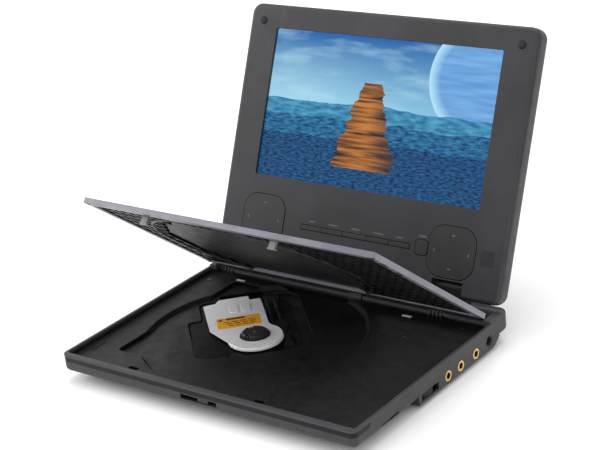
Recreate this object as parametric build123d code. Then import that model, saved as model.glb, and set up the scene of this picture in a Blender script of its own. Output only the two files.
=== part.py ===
from build123d import *
from math import cos, radians, sin
import os

# A portable disc player with a folding screen, in millimetres.
# It is drawn in the case frame: X across from the middle, Y back from the front edge and
# Z up from the line where the two case halves meet. export_all() then moves every piece so
# that the origin is the bottom centre of the open player.

# Case
CASE_WIDTH = 198.0
CASE_DEPTH = 149.0
FRONT_RADIUS = 3.6
REAR_RADIUS = 6.0
RIM_Z = 1.5                # top of the rim round the deck
DECK_Z = -2.2              # ledge that the cover closes over
FLOOR_Z = -9.0             # underside of the thin front part
HUMP_Z = -14.0             # underside of the thick rear part
HUMP_FRONT = 56.5
HUMP_REAR = 129.0
WALL = 1.8
LIP = 0.85                 # wall left outside the top case's tongue
LIP_DEPTH = 3.8
DECK_WALL = 1.4
FOOT_HEIGHT = 1.0
FOOT_RADIUS = 5.0
FOOT_X = 84.0
FEET_Y = (64.5, 123.5)
BOSS_RADIUS = 3.2          # screw posts inside the case
SHANK_RADIUS = 1.25
SCREW_HEAD_RADIUS = 2.6
VENT_COUNT = 7             # slots under the main board
VENT_START = 30.0
VENT_PITCH = 7.0
VENT_WIDTH = 2.5
VENTS_Y = (96.0, 118.0)
SIDE_X = CASE_WIDTH / 2

# Disc well and mechanism
SPINDLE_X = -19.3
SPINDLE_Y = 72.1
WELL_TOP_RADIUS = 64.3
WELL_FLOOR_RADIUS = 62.0
WELL_Z = -4.7
WELL_BASE_Z = WELL_Z - DECK_WALL
PLATE_Z = -5.3             # top of the plate that fills the opening in the well floor
PLATE_WALL = 1.0
GUARD_Z = -2.8             # top of the pickup guard
GUARD_WALL = 0.8
GUARD_LEVER = 1.5          # the guard's round end stands this far in front of the spindle
DISC_Z = -2.4              # where a disc rests on the turntable
HUB_RADIUS = 7.3
HUB_TOP = -0.6
PLATTER_RADIUS = 8.2
SHAFT_RADIUS = 1.0
RUNNING = 0.05             # radial clearance of a shaft in its bore
MOTOR_RADIUS = 12.0
INNER_Z = HUMP_Z + WALL    # inside of the hump's floor
RAIL_Z = -9.0
RAIL_RADIUS = 1.2
RAIL_ACROSS = (-13.0, 26.0)
RAIL_ENDS = (60.0, 65.0)
SLED_TOP = -6.6
SLED_START = 24.0          # lens to spindle at the inner stop
SCREW_ACROSS = -17.5
SCREW_RADIUS = 1.2
SCREW_PITCH = 3.0
CHASSIS_WALL = 0.9
DAMPERS = ((18.0, 27.0), (40.0, -21.0), (-14.0, -20.0))
DAMPER_RADIUS = 2.0

# Cover
COVER_WIDTH = 194.0
COVER_FRONT = 3.8
COVER_REAR = 124.2
COVER_LOW = -1.7           # underside of its frame when shut
COVER_PAN = 0.3            # underside of the round pan when shut
COVER_PAN_RADIUS = 63.0
COVER_CORNER = 1.0
COVER_OPEN = 38.3
COVER_AXIS_Y = 135.5
COVER_AXIS_Z = -2.0
ROD_RADIUS = 1.5
TUBE_RADIUS = 2.7
KNUCKLE_RADIUS = 3.3
KNUCKLES = ((-88.3, 10.0, 4), (6.3, 9.0, 1), (61.2, 10.0, 4))    # middle, width, ribs
TROUGH = (130.8, 139.8, -5.5)
HOOKS_X = (-54.5, 32.5)
HOOK_Y = 9.4

# Screen
SCREEN_HEIGHT = 152.2
SCREEN_THICKNESS = 13.0
SCREEN_RADIUS = 6.5
SCREEN_Y = 137.24          # bottom front edge
SCREEN_Z = 8.42
SCREEN_TILT = 24.24        # back from upright
BEZEL_DEPTH = 4.0
BEZEL_WALL = 1.8
PIN_UP = 5.93              # screen hinge above the panel's bottom edge
PIN_BACK = 7.3             # and behind its front face
PIN_RADIUS = 1.5
TOWER_RADIUS = 2.8
TOWER_FOOT = (2.6, 2.2)    # how far a tower's foot reaches in front of and behind its pin
TOWER_X = (55.0, 75.0)     # notch in the panel for each hinge tower
NOTCH_TOP = 8.9
LCD_WIDTH = 156.4
LCD_HEIGHT = 88.0
LCD_MIDDLE = 94.2

# Keys
KEY_GAP = 0.35
KEY_PROUD = 0.25
KEY_DEPTH = 2.2
PAD_SIZE = (30.3, 28.7, 9.3)       # width, height, corner radius
PADS_X = {"left": -67.1, "right": 64.95}
PAD_UP = 24.55
SQUARE_KEY = (45.2, 24.3, 8.0, 8.5)
STRIP_EDGES = (-39.0, -24.0, -9.0, 8.0, 23.0, 37.4)
STRIP_LOW = 22.4
STRIP_HIGH = 25.0
IR_WINDOW = (88.2, 24.15, 8.2)

# Controls and sockets on the case
JACKS_Y = (85.0, 97.4, 112.7)
JACK_Z = -8.3
JACK_BORE = 1.8
JACK_RING = 3.0
JACK_LENGTH = 14.0
DC_Y = 126.1
DC_Z = -6.9
DC_BORE = 2.6
DC_PIN = 0.65
WHEEL_Y = 67.3
WHEEL_Z = -9.0
WHEEL_RADIUS = 7.8
WHEEL_NOTCHES = 44
WHEEL_X = SIDE_X - 0.1 - WHEEL_RADIUS
POWER_SLOT = (23.6, 38.6, -7.4, -5.9)
POWER_KNOB = 6.0
OPEN_SLOT = (-13.0, 11.5, -6.0, -3.2)
OPEN_KNOB = (-1.5, 5.3)
LATCH_FRONT = 2.6
LATCH_Z = (-5.5, -4.4)
LAMP_X = 65.85
LAMP_Z = -5.0

PIECES = {}


def box(x0, x1, y0, y1, z0, z1):
    return Pos((x0 + x1) / 2, (y0 + y1) / 2, (z0 + z1) / 2) * Box(x1 - x0, y1 - y0, z1 - z0)


def slab(sheet, z0, z1):
    return Pos(0, 0, z0) * extrude(sheet, amount=z1 - z0, dir=(0, 0, 1))


def rod_x(x0, x1, y, z, radius):
    return Pos((x0 + x1) / 2, y, z) * Rot(0, 90, 0) * Cylinder(radius, x1 - x0)


def post(x, y, z0, z1, radius):
    return Pos(x, y, (z0 + z1) / 2) * Cylinder(radius, z1 - z0)


def round_box(x0, x1, y0, y1, z0, z1, radius):
    sheet = Pos((x0 + x1) / 2, (y0 + y1) / 2) * RectangleRounded(x1 - x0, y1 - y0, radius)
    return slab(sheet, z0, z1)


def keep(name, solid):
    PIECES[name] = solid


def case_plan(inset=0.0):
    """The case seen from above."""
    sheet = Pos(0, CASE_DEPTH / 2) * Rectangle(CASE_WIDTH - 2 * inset, CASE_DEPTH - 2 * inset)
    sheet = fillet(sheet.vertices().sort_by(Axis.Y)[:2], FRONT_RADIUS - inset)
    return fillet(sheet.vertices().sort_by(Axis.Y)[-2:], REAR_RADIUS - inset)


def hump(inset=0.0):
    """The thick rear part: a block across the case with a sloping back."""
    low = HUMP_Z + inset
    outline = [
        (HUMP_FRONT + inset, FLOOR_Z + WALL + 1),
        (HUMP_FRONT + 1 + inset, low),
        (HUMP_REAR - inset, low),
        (HUMP_REAR + 8 - inset, FLOOR_Z + 0.5),
        (HUMP_REAR + 8 - inset, FLOOR_Z + WALL + 1),
    ]
    face = Plane.YZ * make_face(Polyline(*outline, close=True))
    body = extrude(face, amount=SIDE_X - inset, both=True)
    return fillet(body.edges().group_by(Axis.Z)[0], max(0.8, 2.6 - inset))


def hump_slope():
    """The wedge behind the inside of the hump's sloping back."""
    y, z = HUMP_REAR - WALL - 0.3, INNER_Z
    outline = [(y, z - 2), (y, z), (y + 8, z + 3.7), (y + 20, z + 3.7), (y + 20, z - 2)]
    return extrude(Plane.YZ * make_face(Polyline(*outline, close=True)), amount=SIDE_X, both=True)


def case_hull(inset=0.0):
    low = FLOOR_Z + inset
    body = slab(case_plan(inset), low, 0)
    return fillet(body.edges().group_by(Axis.Z)[0], 3.2 - inset) + hump(inset)


def mirror_pair(solid):
    return solid + mirror(solid, Plane.YZ)


# ---- the mechanism's own axes: X runs out from the spindle under the guard, towards the
# ---- rear left corner, and Y runs across it towards the front left
MECHANISM = Pos(SPINDLE_X, SPINDLE_Y, 0) * Rot(0, 0, 135)


def rounded(*corners):
    """A face from corners given as (x, y, radius)."""
    points = [(x, y) for x, y, _ in corners]
    return make_face(FilletPolyline(*points, radius=[radius for _, _, radius in corners], close=True))


def aperture(gap=0.0):
    """The opening in the well floor: a turned square with one large and one stepped corner."""
    sheet = rounded(
        (56.0, -31.2, 12.0), (56.0, -12.0, 1.0), (63.2, -12.0, 2.0), (63.2, 14.0, 2.0),
        (56.0, 14.0, 1.0), (56.0, 27.2, 5.0), (33.0, 27.2, 1.0), (33.0, 35.4, 3.0),
        (-18.0, 35.4, 9.0), (-18.0, 18.6, 0.6), (-20.6, 17.6, 0.6), (-16.0, 15.2, 1.2),
        (-16.0, 11.4, 1.2), (-20.9, 7.4, 1.2), (-20.9, -31.2, 18.0),
    )
    return offset(sheet, -gap) if gap else sheet


def guard_outline():
    """A keyhole: a round end over the turntable and a wide tail with a notched rear edge."""
    tail = rounded(
        (47.6, 24.9, 0.6), (49.0, 17.7, 0.4), (53.2, 15.2, 0.8), (53.2, -2.2, 0.8), (47.6, -2.2, 0.4),
        (47.6, -8.8, 0.6), (12.5, -9.3, 6.0), (2.0, -14.4, 0.2), (-6.0, 14.7, 0.2), (13.8, 24.2, 2.0),
    )
    return tail + Pos(-GUARD_LEVER, 0) * Circle(15.3)


# ---- case

def bottom_case():
    body = case_hull()
    body -= case_hull(WALL) + slab(case_plan(WALL), FLOOR_Z + 6, 1)
    body -= slab(case_plan(LIP), -LIP_DEPTH, 1)
    body -= box(-SIDE_X, SIDE_X, -1, 14, -2.6, 1) - slab(case_plan(LIP), -3, 1)
    right = SIDE_X - WALL - 1
    for y in JACKS_Y:
        body -= rod_x(right, SIDE_X + 1, y, JACK_Z, JACK_RING + 0.05)
    body -= rod_x(right, SIDE_X + 1, DC_Y, DC_Z, DC_BORE + 0.9)
    body -= box(right, SIDE_X + 1, WHEEL_Y - 8, WHEEL_Y + 8, WHEEL_Z - 2, WHEEL_Z + 2)
    y0, y1, z0, z1 = POWER_SLOT
    body -= box(right, SIDE_X + 1, y0, y1, z0, z1)
    x0, x1, z0, z1 = OPEN_SLOT
    body -= box(x0, x1, -1, WALL + 1, z0, z1)
    body -= box(LAMP_X - 2.4, LAMP_X + 2.4, -1, WALL + 1, LAMP_Z - 0.7, LAMP_Z + 0.7)
    for n in range(VENT_COUNT):
        start = VENT_START + n * VENT_PITCH
        body -= round_box(start, start + VENT_WIDTH, *VENTS_Y, HUMP_Z - 1, INNER_Z + 1, 1.2)
    for x, y in screw_places():
        top = FLOOR_Z + 5.2 if y < HUMP_FRONT else -6.3
        body += post(x, y, underside(y) + 1, top, BOSS_RADIUS)
        body -= post(x, y, underside(y) - 1, underside(y) + 1.6, 2.8)
        body -= post(x, y, underside(y), top + 1, 1.3)
    return body


def underside(y):
    return FLOOR_Z if y < HUMP_FRONT else HUMP_Z


def screw_places():
    return [(side * x, y) for side in (-1, 1) for x, y in ((88.0, 30.0), (83.4, 77.5))]


def top_case():
    body = slab(case_plan(), 0, RIM_Z) + slab(case_plan(LIP + 0.05), DECK_Z - DECK_WALL, 0)
    rear = slab(case_plan() & Pos(0, 140) * Rectangle(CASE_WIDTH, 21.4), 0, 3.0)
    rear = fillet(rear.edges().group_by(Axis.Z)[-1].filter_by_position(Axis.Y, 135, 150), 1.6)
    body += rear
    y0, y1, z = TROUGH
    body += box(-95.4, 95.4, y0 - 1.4, y1 + 1.4, z - DECK_WALL, 0)
    body += post(SPINDLE_X, SPINDLE_Y, WELL_BASE_Z, DECK_Z, WELL_TOP_RADIUS + 1.3)
    body -= round_box(-97.3, 97.3, 3.2, 129.3, DECK_Z, 5, 1.2)
    body -= box(-94, 94, 120, y1, DECK_Z, 5)
    body -= box(-94, 94, y0, y1, z, 5)
    wall = Cone(WELL_FLOOR_RADIUS, WELL_TOP_RADIUS, DECK_Z - WELL_Z)
    body -= Pos(SPINDLE_X, SPINDLE_Y, (DECK_Z + WELL_Z) / 2) * wall
    body -= round_box(-78.7, -50, 23, 56, WELL_Z, 0, 3.0)
    body -= round_box(-75.2, -50, 92, 125, WELL_Z, 0, 3.0)
    body += box(-80.5, -50, 21.5, 126.5, WELL_BASE_Z, WELL_Z) & post(-60, 74, -9, 0, 60)
    body -= MECHANISM * slab(aperture(), WELL_BASE_Z - 2, 0)
    for x in HOOKS_X:
        body -= box(x - 3.3, x + 3.3, HOOK_Y - 2.1, HOOK_Y + 2.1, DECK_Z - 3, 0)
    body -= box(57.5, 60.5, 102.8, 105.2, DECK_Z - 3, 0)
    body -= box(-96.5, 96.5, 141.4, 146.6, -5, 0.4)
    body -= rod_x(-100, 100, *screen_axis(), 8.9)
    body -= mirror_pair(tower_foot())
    for x0, x1, near, far in ((-92.1, -91.3, 16, 27), (81.6, 93.6, 13.1, 13.9), (-97.3, -94.5, 15, 26)):
        body += box(x0, x1, near, far, DECK_Z, DECK_Z + 0.35)
    return body


def front_trim():
    ring = slab(case_plan(), -2.5, 0) - slab(case_plan(LIP), -3, 1)
    return ring & box(-SIDE_X, SIDE_X, -1, 13.9, -2.5, -0.05)


def rubber_feet():
    low = HUMP_Z - FOOT_HEIGHT
    spots = [(side * FOOT_X, y) for side in (-1, 1) for y in FEET_Y]
    return Compound(children=[post(x, y, low, HUMP_Z, FOOT_RADIUS) for x, y in spots])


def base_screws():
    made = []
    for x, y in screw_places():
        low = underside(y) + 0.5
        head = post(x, y, low, low + 1.1, SCREW_HEAD_RADIUS) - post(x, y, low - 1, low + 0.5, 0.9)
        made.append(head + post(x, y, low + 1, low + 4.5, SHANK_RADIUS))
    return Compound(children=made)


def deck_screws():
    made = []
    for x, y in ((-91.2, 119.0), (82.8, 126.4)):
        head = post(x, y, DECK_Z, DECK_Z + 0.4, 1.6)
        made.append(head - box(x - 1.1, x + 1.1, y - 0.2, y + 0.2, DECK_Z + 0.15, 0))
    return Compound(children=made)


def battery_pack():
    cell = round_box(24, 80, 59.5, 86, INNER_Z + 0.2, -6.6, 2.5)
    return fillet(cell.edges().group_by(Axis.Z)[-1], 1.0)


def main_board():
    board = box(28, 84, 89, 126, -11.2, -9.8)
    chips = [box(36, 50, 96, 110, -9.8, -8.4), box(56, 66, 94, 104, -9.8, -8.8),
             box(54, 74, 110, 118, -9.8, -8.6), box(38, 46, 114, 122, -9.8, -8.6)]
    return board + chips


# ---- sockets and controls on the right side

def jack_bodies():
    made = []
    for y in JACKS_Y:
        end = SIDE_X - WALL - 0.05
        shell = box(end - JACK_LENGTH + WALL, end, y - 3.6, y + 3.6, JACK_Z - 3.0, JACK_Z + 2.0)
        made.append(shell - rod_x(end - JACK_LENGTH + WALL + 1, end + 1, y, JACK_Z, JACK_BORE))
    return Compound(children=made)


def jack_rings():
    made = []
    for y in JACKS_Y:
        ring = rod_x(SIDE_X - WALL - 0.05, SIDE_X - 0.05, y, JACK_Z, JACK_RING)
        made.append(ring - rod_x(90, 100, y, JACK_Z, JACK_BORE))
    return Compound(children=made)


def dc_socket():
    end = SIDE_X - 0.15
    body = rod_x(end - 11, end, DC_Y, DC_Z, DC_BORE + 0.85) - rod_x(end - 9.5, end + 1, DC_Y, DC_Z, DC_BORE)
    return body & box(80, 100, DC_Y - 4, DC_Y + 3.2, -11, DECK_Z - DECK_WALL - 0.05)


def dc_pin():
    end = SIDE_X - 0.15
    return rod_x(end - 9.5, end - 1.5, DC_Y, DC_Z, DC_PIN)


def volume_wheel():
    wheel = post(WHEEL_X, WHEEL_Y, WHEEL_Z - 1.6, WHEEL_Z + 1.6, WHEEL_RADIUS)
    for n in range(WHEEL_NOTCHES):
        spot = Pos(WHEEL_X, WHEEL_Y, WHEEL_Z) * Rot(0, 0, 360 * n / WHEEL_NOTCHES)
        wheel -= spot * Pos(WHEEL_RADIUS, 0, 0) * Box(0.7, 0.5, 4)
    return wheel - post(WHEEL_X, WHEEL_Y, -20, 0, 1.5 + RUNNING)


def volume_post():
    base = box(WHEEL_X - 5, WHEEL_X + 5, WHEEL_Y - 5, WHEEL_Y + 5, INNER_Z, INNER_Z + 1.2)
    return base + post(WHEEL_X, WHEEL_Y, INNER_Z + 1, WHEEL_Z + 2.2, 1.5)


def power_slider():
    y0, y1, z0, z1 = POWER_SLOT
    start = y0 + 1.0
    knob = box(SIDE_X - 2.6, SIDE_X - 0.3, start, start + POWER_KNOB, z0 + 0.3, z1 - 0.3)
    for n in range(4):
        knob -= box(SIDE_X - 0.7, SIDE_X, start + 1.2 + n * 1.2, start + 1.7 + n * 1.2, z0, z1)
    return knob + box(SIDE_X - 3.4, SIDE_X - 2.3, start - 0.5, start + 6.5, z0 + 0.3, z1 + 0.6)


def charge_lamp():
    return box(LAMP_X - 2.3, LAMP_X + 2.3, 0.25, 3.2, LAMP_Z - 0.6, LAMP_Z + 0.6)


def open_knob():
    x0, x1 = OPEN_KNOB
    knob = box(x0, x1, 0.5, LATCH_FRONT, -5.7, -3.6)
    for n in range(3):
        knob += Pos(x0 + 1.6 + n * 1.8, 0.5, -4.7) * Sphere(0.35)
    return knob


def latch_bar():
    """Runs along the front inside the case, with a tab for each hook of the cover."""
    bar = box(-62, 44, LATCH_FRONT, 6.0, *LATCH_Z)
    for x in HOOKS_X:
        bar += box(x - 9, x + 5.5, 5.0, 11.4, *LATCH_Z)
        bar -= box(x - 7.4, x + 3.2, HOOK_Y - 1.6, HOOK_Y + 1.6, -6, -4)
    return bar


# ---- mechanism

def traverse_cover():
    """The plate in the well floor, open over the carriage and its drive."""
    plate = slab(aperture(0.7), PLATE_Z - PLATE_WALL, PLATE_Z)
    plate -= box(-9, 70, -14, 15, -9, 0) + box(-30, 70, -40, -8, -9, 0)
    return MECHANISM * (plate - post(0, 0, -9, 0, 13.0))


def traverse_chassis():
    """Pressed base of the mechanism, with the lugs that hold the rails and the lead screw."""
    low = INNER_Z + 0.05
    top = RAIL_Z + 1.8
    plate = slab(Pos(24, 3) * RectangleRounded(90, 56, 4), low, low + CHASSIS_WALL)
    plate -= slab(Pos(38, 6) * RectangleRounded(36, 26, 3), -20, 0)
    near, far = RAIL_ACROSS
    plate += box(12.9, 14.9, near - 2.2, near + 2.2, low, top)
    plate += box(12.9, 14.9, far - 2.2, far + 2.2, low, top)
    plate += box(RAIL_ENDS[0] - 2, RAIL_ENDS[0], SCREW_ACROSS - 2.4, near + 2.2, low, top)
    plate += box(RAIL_ENDS[1] - 2, RAIL_ENDS[1], far - 2.2, far + 2.2, low, top)
    for y in RAIL_ACROSS:
        plate -= along(0, 70, y, RAIL_Z, RAIL_RADIUS)
    plate -= along(40, 70, SCREW_ACROSS, RAIL_Z, SCREW_RADIUS + RUNNING)
    plate -= box(-10, 6.2, SCREW_ACROSS - 3.6, SCREW_ACROSS + 3.6, -20, 0)
    for x, y in DAMPERS:
        plate -= post(x, y, -20, 0, DAMPER_RADIUS)
    plate = MECHANISM * plate - box(-95, 95, 0, HUMP_FRONT + WALL + 1.2, -20, 0)
    return plate - hump_slope()


def along(x0, x1, y, z, radius):
    return Pos((x0 + x1) / 2, y, z) * Rot(0, 90, 0) * Cylinder(radius, x1 - x0)


def dampers():
    low = INNER_Z + 0.05
    top = low + CHASSIS_WALL + 0.15
    return Compound(children=[MECHANISM * post(x, y, low, top, DAMPER_RADIUS) for x, y in DAMPERS])


def guide_rails():
    rails = [along(12.4, end + 0.3, y, RAIL_Z, RAIL_RADIUS) for y, end in zip(RAIL_ACROSS, RAIL_ENDS)]
    return Compound(children=[MECHANISM * rail for rail in rails])


def spindle_motor():
    low = INNER_Z + 0.05 + CHASSIS_WALL
    body = post(SPINDLE_X, SPINDLE_Y, low, -6.4, MOTOR_RADIUS)
    body = fillet(body.edges().group_by(Axis.Z)[-1], 1.0)
    body += post(SPINDLE_X, SPINDLE_Y, -6.5, -4.6, 3.0)
    return body - post(SPINDLE_X, SPINDLE_Y, low + 0.6, 0, SHAFT_RADIUS + RUNNING)


def spindle_shaft():
    return post(SPINDLE_X, SPINDLE_Y, INNER_Z + 1.8, HUB_TOP + 0.2, SHAFT_RADIUS)


def turntable():
    low = -4.4
    body = post(SPINDLE_X, SPINDLE_Y, low, DISC_Z - 0.3, PLATTER_RADIUS)
    hub = post(SPINDLE_X, SPINDLE_Y, DISC_Z - 0.3, HUB_TOP, HUB_RADIUS)
    body += chamfer(hub.edges().group_by(Axis.Z)[-1], 0.6)
    for n in range(3):
        turn = Rot(0, 0, 120 * n + 30)
        body -= Pos(SPINDLE_X, SPINDLE_Y, 0) * turn * box(5.2, 7.6, -1.5, 1.5, DISC_Z, 0)
        ball = turn * Pos(6.4, 0, -1.6) * Sphere(0.85)
        body += Pos(SPINDLE_X, SPINDLE_Y, 0) * (ball + turn * box(4.8, 6.6, -0.6, 0.6, -2.8, -1.2))
    body -= post(SPINDLE_X, SPINDLE_Y, low - 1, 0, SHAFT_RADIUS)
    return body


def turntable_pad():
    ring = post(SPINDLE_X, SPINDLE_Y, DISC_Z - 0.3, DISC_Z, PLATTER_RADIUS)
    return ring - post(SPINDLE_X, SPINDLE_Y, -9, 0, HUB_RADIUS)


def pickup_body():
    """Carriage on two rails, at the inner stop."""
    x = SLED_START
    low, high = RAIL_ACROSS
    middle = Pos(x, (low + high) / 2)
    body = slab(middle * RectangleRounded(17, high - low - 6, 2.5), RAIL_Z - 2.0, SLED_TOP)
    body += box(x - 8, x - 1, SCREW_ACROSS - 2.4, low + 5, RAIL_Z - 2.0, RAIL_Z + 2.0)
    body += box(x - 3, x + 3, high - 5, high + 2.2, RAIL_Z - 2.0, RAIL_Z + 2.0)
    body += slab(Pos(x, 0) * RectangleRounded(9.6, 13, 1.5), SLED_TOP - 0.1, -4.9)
    body -= post(x, 0, -6.2, 0, 2.6)
    for y in RAIL_ACROSS:
        body -= along(0, 70, y, RAIL_Z, RAIL_RADIUS + RUNNING)
    body -= along(0, 70, SCREW_ACROSS, RAIL_Z, SCREW_RADIUS + RUNNING)
    return MECHANISM * body


def pickup_lens():
    lens = Pos(SLED_START, 0, -5.6) * Cylinder(2.5, 1.0) + Pos(SLED_START, 0, -6.6) * Sphere(2.4)
    return MECHANISM * (lens & box(0, 60, -4, 4, -6.2, -3.9))


def sled_motor():
    body = along(-8.0, 4.6, SCREW_ACROSS, RAIL_Z, 3.1)
    body += box(4.6, 5.2, SCREW_ACROSS - 3.1, SCREW_ACROSS + 3.1, INNER_Z + 0.05, -6.4)
    return MECHANISM * (body - along(-1, 6, SCREW_ACROSS, RAIL_Z, SCREW_RADIUS + RUNNING))


def lead_screw():
    body = along(0, RAIL_ENDS[0] - 0.4, SCREW_ACROSS, RAIL_Z, SCREW_RADIUS)
    for n in range(int(46 / SCREW_PITCH)):
        x = 10 + n * SCREW_PITCH
        groove = along(x, x + 0.7, SCREW_ACROSS, RAIL_Z, SCREW_RADIUS + 0.1)
        body -= groove - along(x, x + 0.7, SCREW_ACROSS, RAIL_Z, 0.85)
    return MECHANISM * body


def pickup_guard():
    """Pressed sheet on two legs, with a second step under its round end."""
    low = GUARD_Z - GUARD_WALL
    plate = slab(guard_outline(), low, GUARD_Z)
    plate -= post(0, 0, -9, 0, PLATTER_RADIUS + 0.5)
    plate += box(38, 42, 20, 23, PLATE_Z, low) + box(14, 18, 18.5, 22, PLATE_Z, low)
    for y in (7.9, 0.9):
        plate += slab(Pos(38, y) * RectangleRounded(10, 5.2, 0.8), GUARD_Z - 0.1, GUARD_Z + 0.3)
    ring = Pos(-GUARD_LEVER - 1.2, 0) * Circle(15.6) - Circle(12.2)
    step = slab(ring, low - 0.7, low + 0.1) & box(-30, 6, -30, 30, -9, 0)
    return MECHANISM * (plate + step)


def guard_label():
    label = Pos(20.2, 7.0) * RectangleRounded(13.7, 25.0, 0.8)
    return MECHANISM * slab(label, GUARD_Z, GUARD_Z + 0.1)


# ---- cover

COVER_HINGE = Pos(0, COVER_AXIS_Y, COVER_AXIS_Z)
COVER_POSE = COVER_HINGE * Rot(-COVER_OPEN, 0, 0) * COVER_HINGE.inverse()


def cover_panel():
    half = COVER_WIDTH / 2
    body = round_box(-half, half, COVER_FRONT, COVER_REAR, COVER_LOW, RIM_Z, COVER_CORNER)
    body += box(-93, 93, COVER_REAR - 1, COVER_AXIS_Y, COVER_LOW + 0.3, RIM_Z - 0.6)
    body += rod_x(-93, 93, COVER_AXIS_Y, COVER_AXIS_Z, TUBE_RADIUS)
    pan = post(SPINDLE_X, SPINDLE_Y, COVER_LOW - 5, COVER_PAN, COVER_PAN_RADIUS)
    body -= pan & box(-99, 99, 0, 129.0, -9, 9)
    for x0, x1 in ((-93.5, -88), (52, 93.5)):
        body -= round_box(x0, x1, 9, 118, COVER_LOW - 1, COVER_PAN, 2.0)
    for middle, width, _ in KNUCKLES:
        near, far = middle - width / 2 - 0.5, middle + width / 2 + 0.5
        body -= box(near, far, 130.6, 140, -8, 3)
    return COVER_POSE * (body - rod_x(-95, 95, COVER_AXIS_Y, COVER_AXIS_Z, ROD_RADIUS + RUNNING))


def cover_hooks():
    made = []
    for x in HOOKS_X:
        stem = box(x - 2, x + 2, HOOK_Y - 0.8, HOOK_Y + 0.8, COVER_LOW - 4.6, COVER_LOW)
        toe = box(x - 2.6, x + 2.6, HOOK_Y - 0.8, HOOK_Y + 0.8, COVER_LOW - 4.6, COVER_LOW - 3.8)
        made.append(COVER_POSE * (stem + toe))
    return Compound(children=made)


def hinge_knuckles():
    made = []
    for middle, width, ribs in KNUCKLES:
        pitch = width / ribs
        for n in range(ribs):
            start = middle - width / 2 + n * pitch
            thick = pitch if ribs == 1 else pitch * 0.62
            rib = rod_x(start, start + thick, COVER_AXIS_Y, COVER_AXIS_Z, KNUCKLE_RADIUS)
            rib += box(start, start + thick, COVER_AXIS_Y - 3, COVER_AXIS_Y + 3, TROUGH[2], COVER_AXIS_Z)
            made.append(rib - rod_x(-95, 95, COVER_AXIS_Y, COVER_AXIS_Z, ROD_RADIUS))
    return Compound(children=made)


def cover_rod():
    return rod_x(-93.9, 93.9, COVER_AXIS_Y, COVER_AXIS_Z, ROD_RADIUS)


def cover_springs():
    made = [box(x - 3, x + 3, 125.0, 126.5, DECK_Z, DECK_Z + 0.35) for x in (-72.3, 46.7)]
    return Compound(children=made)


def cover_switch():
    return box(57.9, 60.1, 103.2, 104.8, DECK_Z - 1.6, DECK_Z - 0.1)


# ---- screen, drawn flat: X across, Y up from its bottom edge, Z out of its face

SCREEN = Location(Plane(
    origin=(0, SCREEN_Y, SCREEN_Z),
    x_dir=(1, 0, 0),
    z_dir=(0, -cos(radians(SCREEN_TILT)), sin(radians(SCREEN_TILT))),
))


def screen_axis():
    """Y and Z of the screen's hinge in the case frame."""
    up, back = radians(SCREEN_TILT), PIN_BACK
    y = SCREEN_Y + PIN_UP * sin(up) + back * cos(up)
    z = SCREEN_Z + PIN_UP * cos(up) - back * sin(up)
    return y, z


def panel_plan(inset=0.0):
    size = (CASE_WIDTH - 2 * inset, SCREEN_HEIGHT - 2 * inset)
    return Pos(0, SCREEN_HEIGHT / 2) * RectangleRounded(*size, SCREEN_RADIUS - inset)


def notches(grow=0.0):
    x0, x1 = TOWER_X
    return mirror_pair(box(x0 - grow, x1 + grow, -1, NOTCH_TOP + grow, -SCREEN_THICKNESS - 1, 1))


def panel_hollow(inset, z0, z1):
    return slab(panel_plan(inset), z0, z1) - notches(1.6)


def key_plans():
    """Every key's name with its outline on the panel's face."""
    plans = {}
    for side, x in PADS_X.items():
        plans["key_pad_" + side] = Pos(x, PAD_UP) * RectangleRounded(*PAD_SIZE)
    x, up, width, height = SQUARE_KEY
    plans["key_square"] = Pos(x, up) * RectangleRounded(width, height, 2.0)
    for n in range(len(STRIP_EDGES) - 1):
        x0, x1 = STRIP_EDGES[n] + 0.15, STRIP_EDGES[n + 1] - 0.15
        middle = Pos((x0 + x1) / 2, (STRIP_LOW + STRIP_HIGH) / 2)
        plans[f"key_strip_{n + 1}"] = middle * RectangleRounded(x1 - x0, STRIP_HIGH - STRIP_LOW, 0.5)
    return plans


def bezel():
    body = slab(panel_plan(), -BEZEL_DEPTH, 0)
    body = fillet(body.edges().group_by(Axis.Z)[-1], 2.6)
    body -= panel_hollow(2.2, -BEZEL_DEPTH - 1, -BEZEL_WALL) + notches()
    window = Pos(0, LCD_MIDDLE) * RectangleRounded(LCD_WIDTH, LCD_HEIGHT, 1.2)
    body -= slab(window, -5, 1)
    sides = {name: plan for name, plan in key_plans().items() if "strip" not in name}
    for plan in sides.values():
        body -= slab(offset(plan, KEY_GAP), -5, 1)
    strip = box(STRIP_EDGES[0] - 0.2, STRIP_EDGES[-1] + 0.2, STRIP_LOW - 0.35, STRIP_HIGH + 0.35, -5, 1)
    body -= strip
    x, up, size = IR_WINDOW
    body -= slab(Pos(x, up) * RectangleRounded(size, size, 1.0), -5, 1)
    for side in (-1, 1):
        body -= post(side * 88.8, 142, -0.9, 1, 2.3)
    return SCREEN * body


def back_shell():
    body = slab(panel_plan(), -SCREEN_THICKNESS, -BEZEL_DEPTH)
    body = fillet(body.edges().group_by(Axis.Z)[0], 5.6)
    inner = slab(panel_plan(2.2), WALL - SCREEN_THICKNESS, 1 - BEZEL_DEPTH)
    inner = fillet(inner.edges().group_by(Axis.Z)[0], 3.8)
    body -= (inner - notches(1.6)) + notches()
    body -= rod_x(-82, 82, PIN_UP, -PIN_BACK, PIN_RADIUS)
    for side in (-1, 1):
        for n in range(6):
            up = 52 + n * 6
            slot = box(-4, 4, up, up + 2, -SCREEN_THICKNESS - 1, WALL - SCREEN_THICKNESS + 0.5)
            body -= Pos(side * 88, 0, 0) * slot
    for x, y in back_screw_places():
        body -= post(x, y, -SCREEN_THICKNESS - 1, -SCREEN_THICKNESS + 1.2, 2.7)
        body -= post(x, y, -SCREEN_THICKNESS - 1, -SCREEN_THICKNESS + 3, 1.3)
    return SCREEN * body


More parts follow.
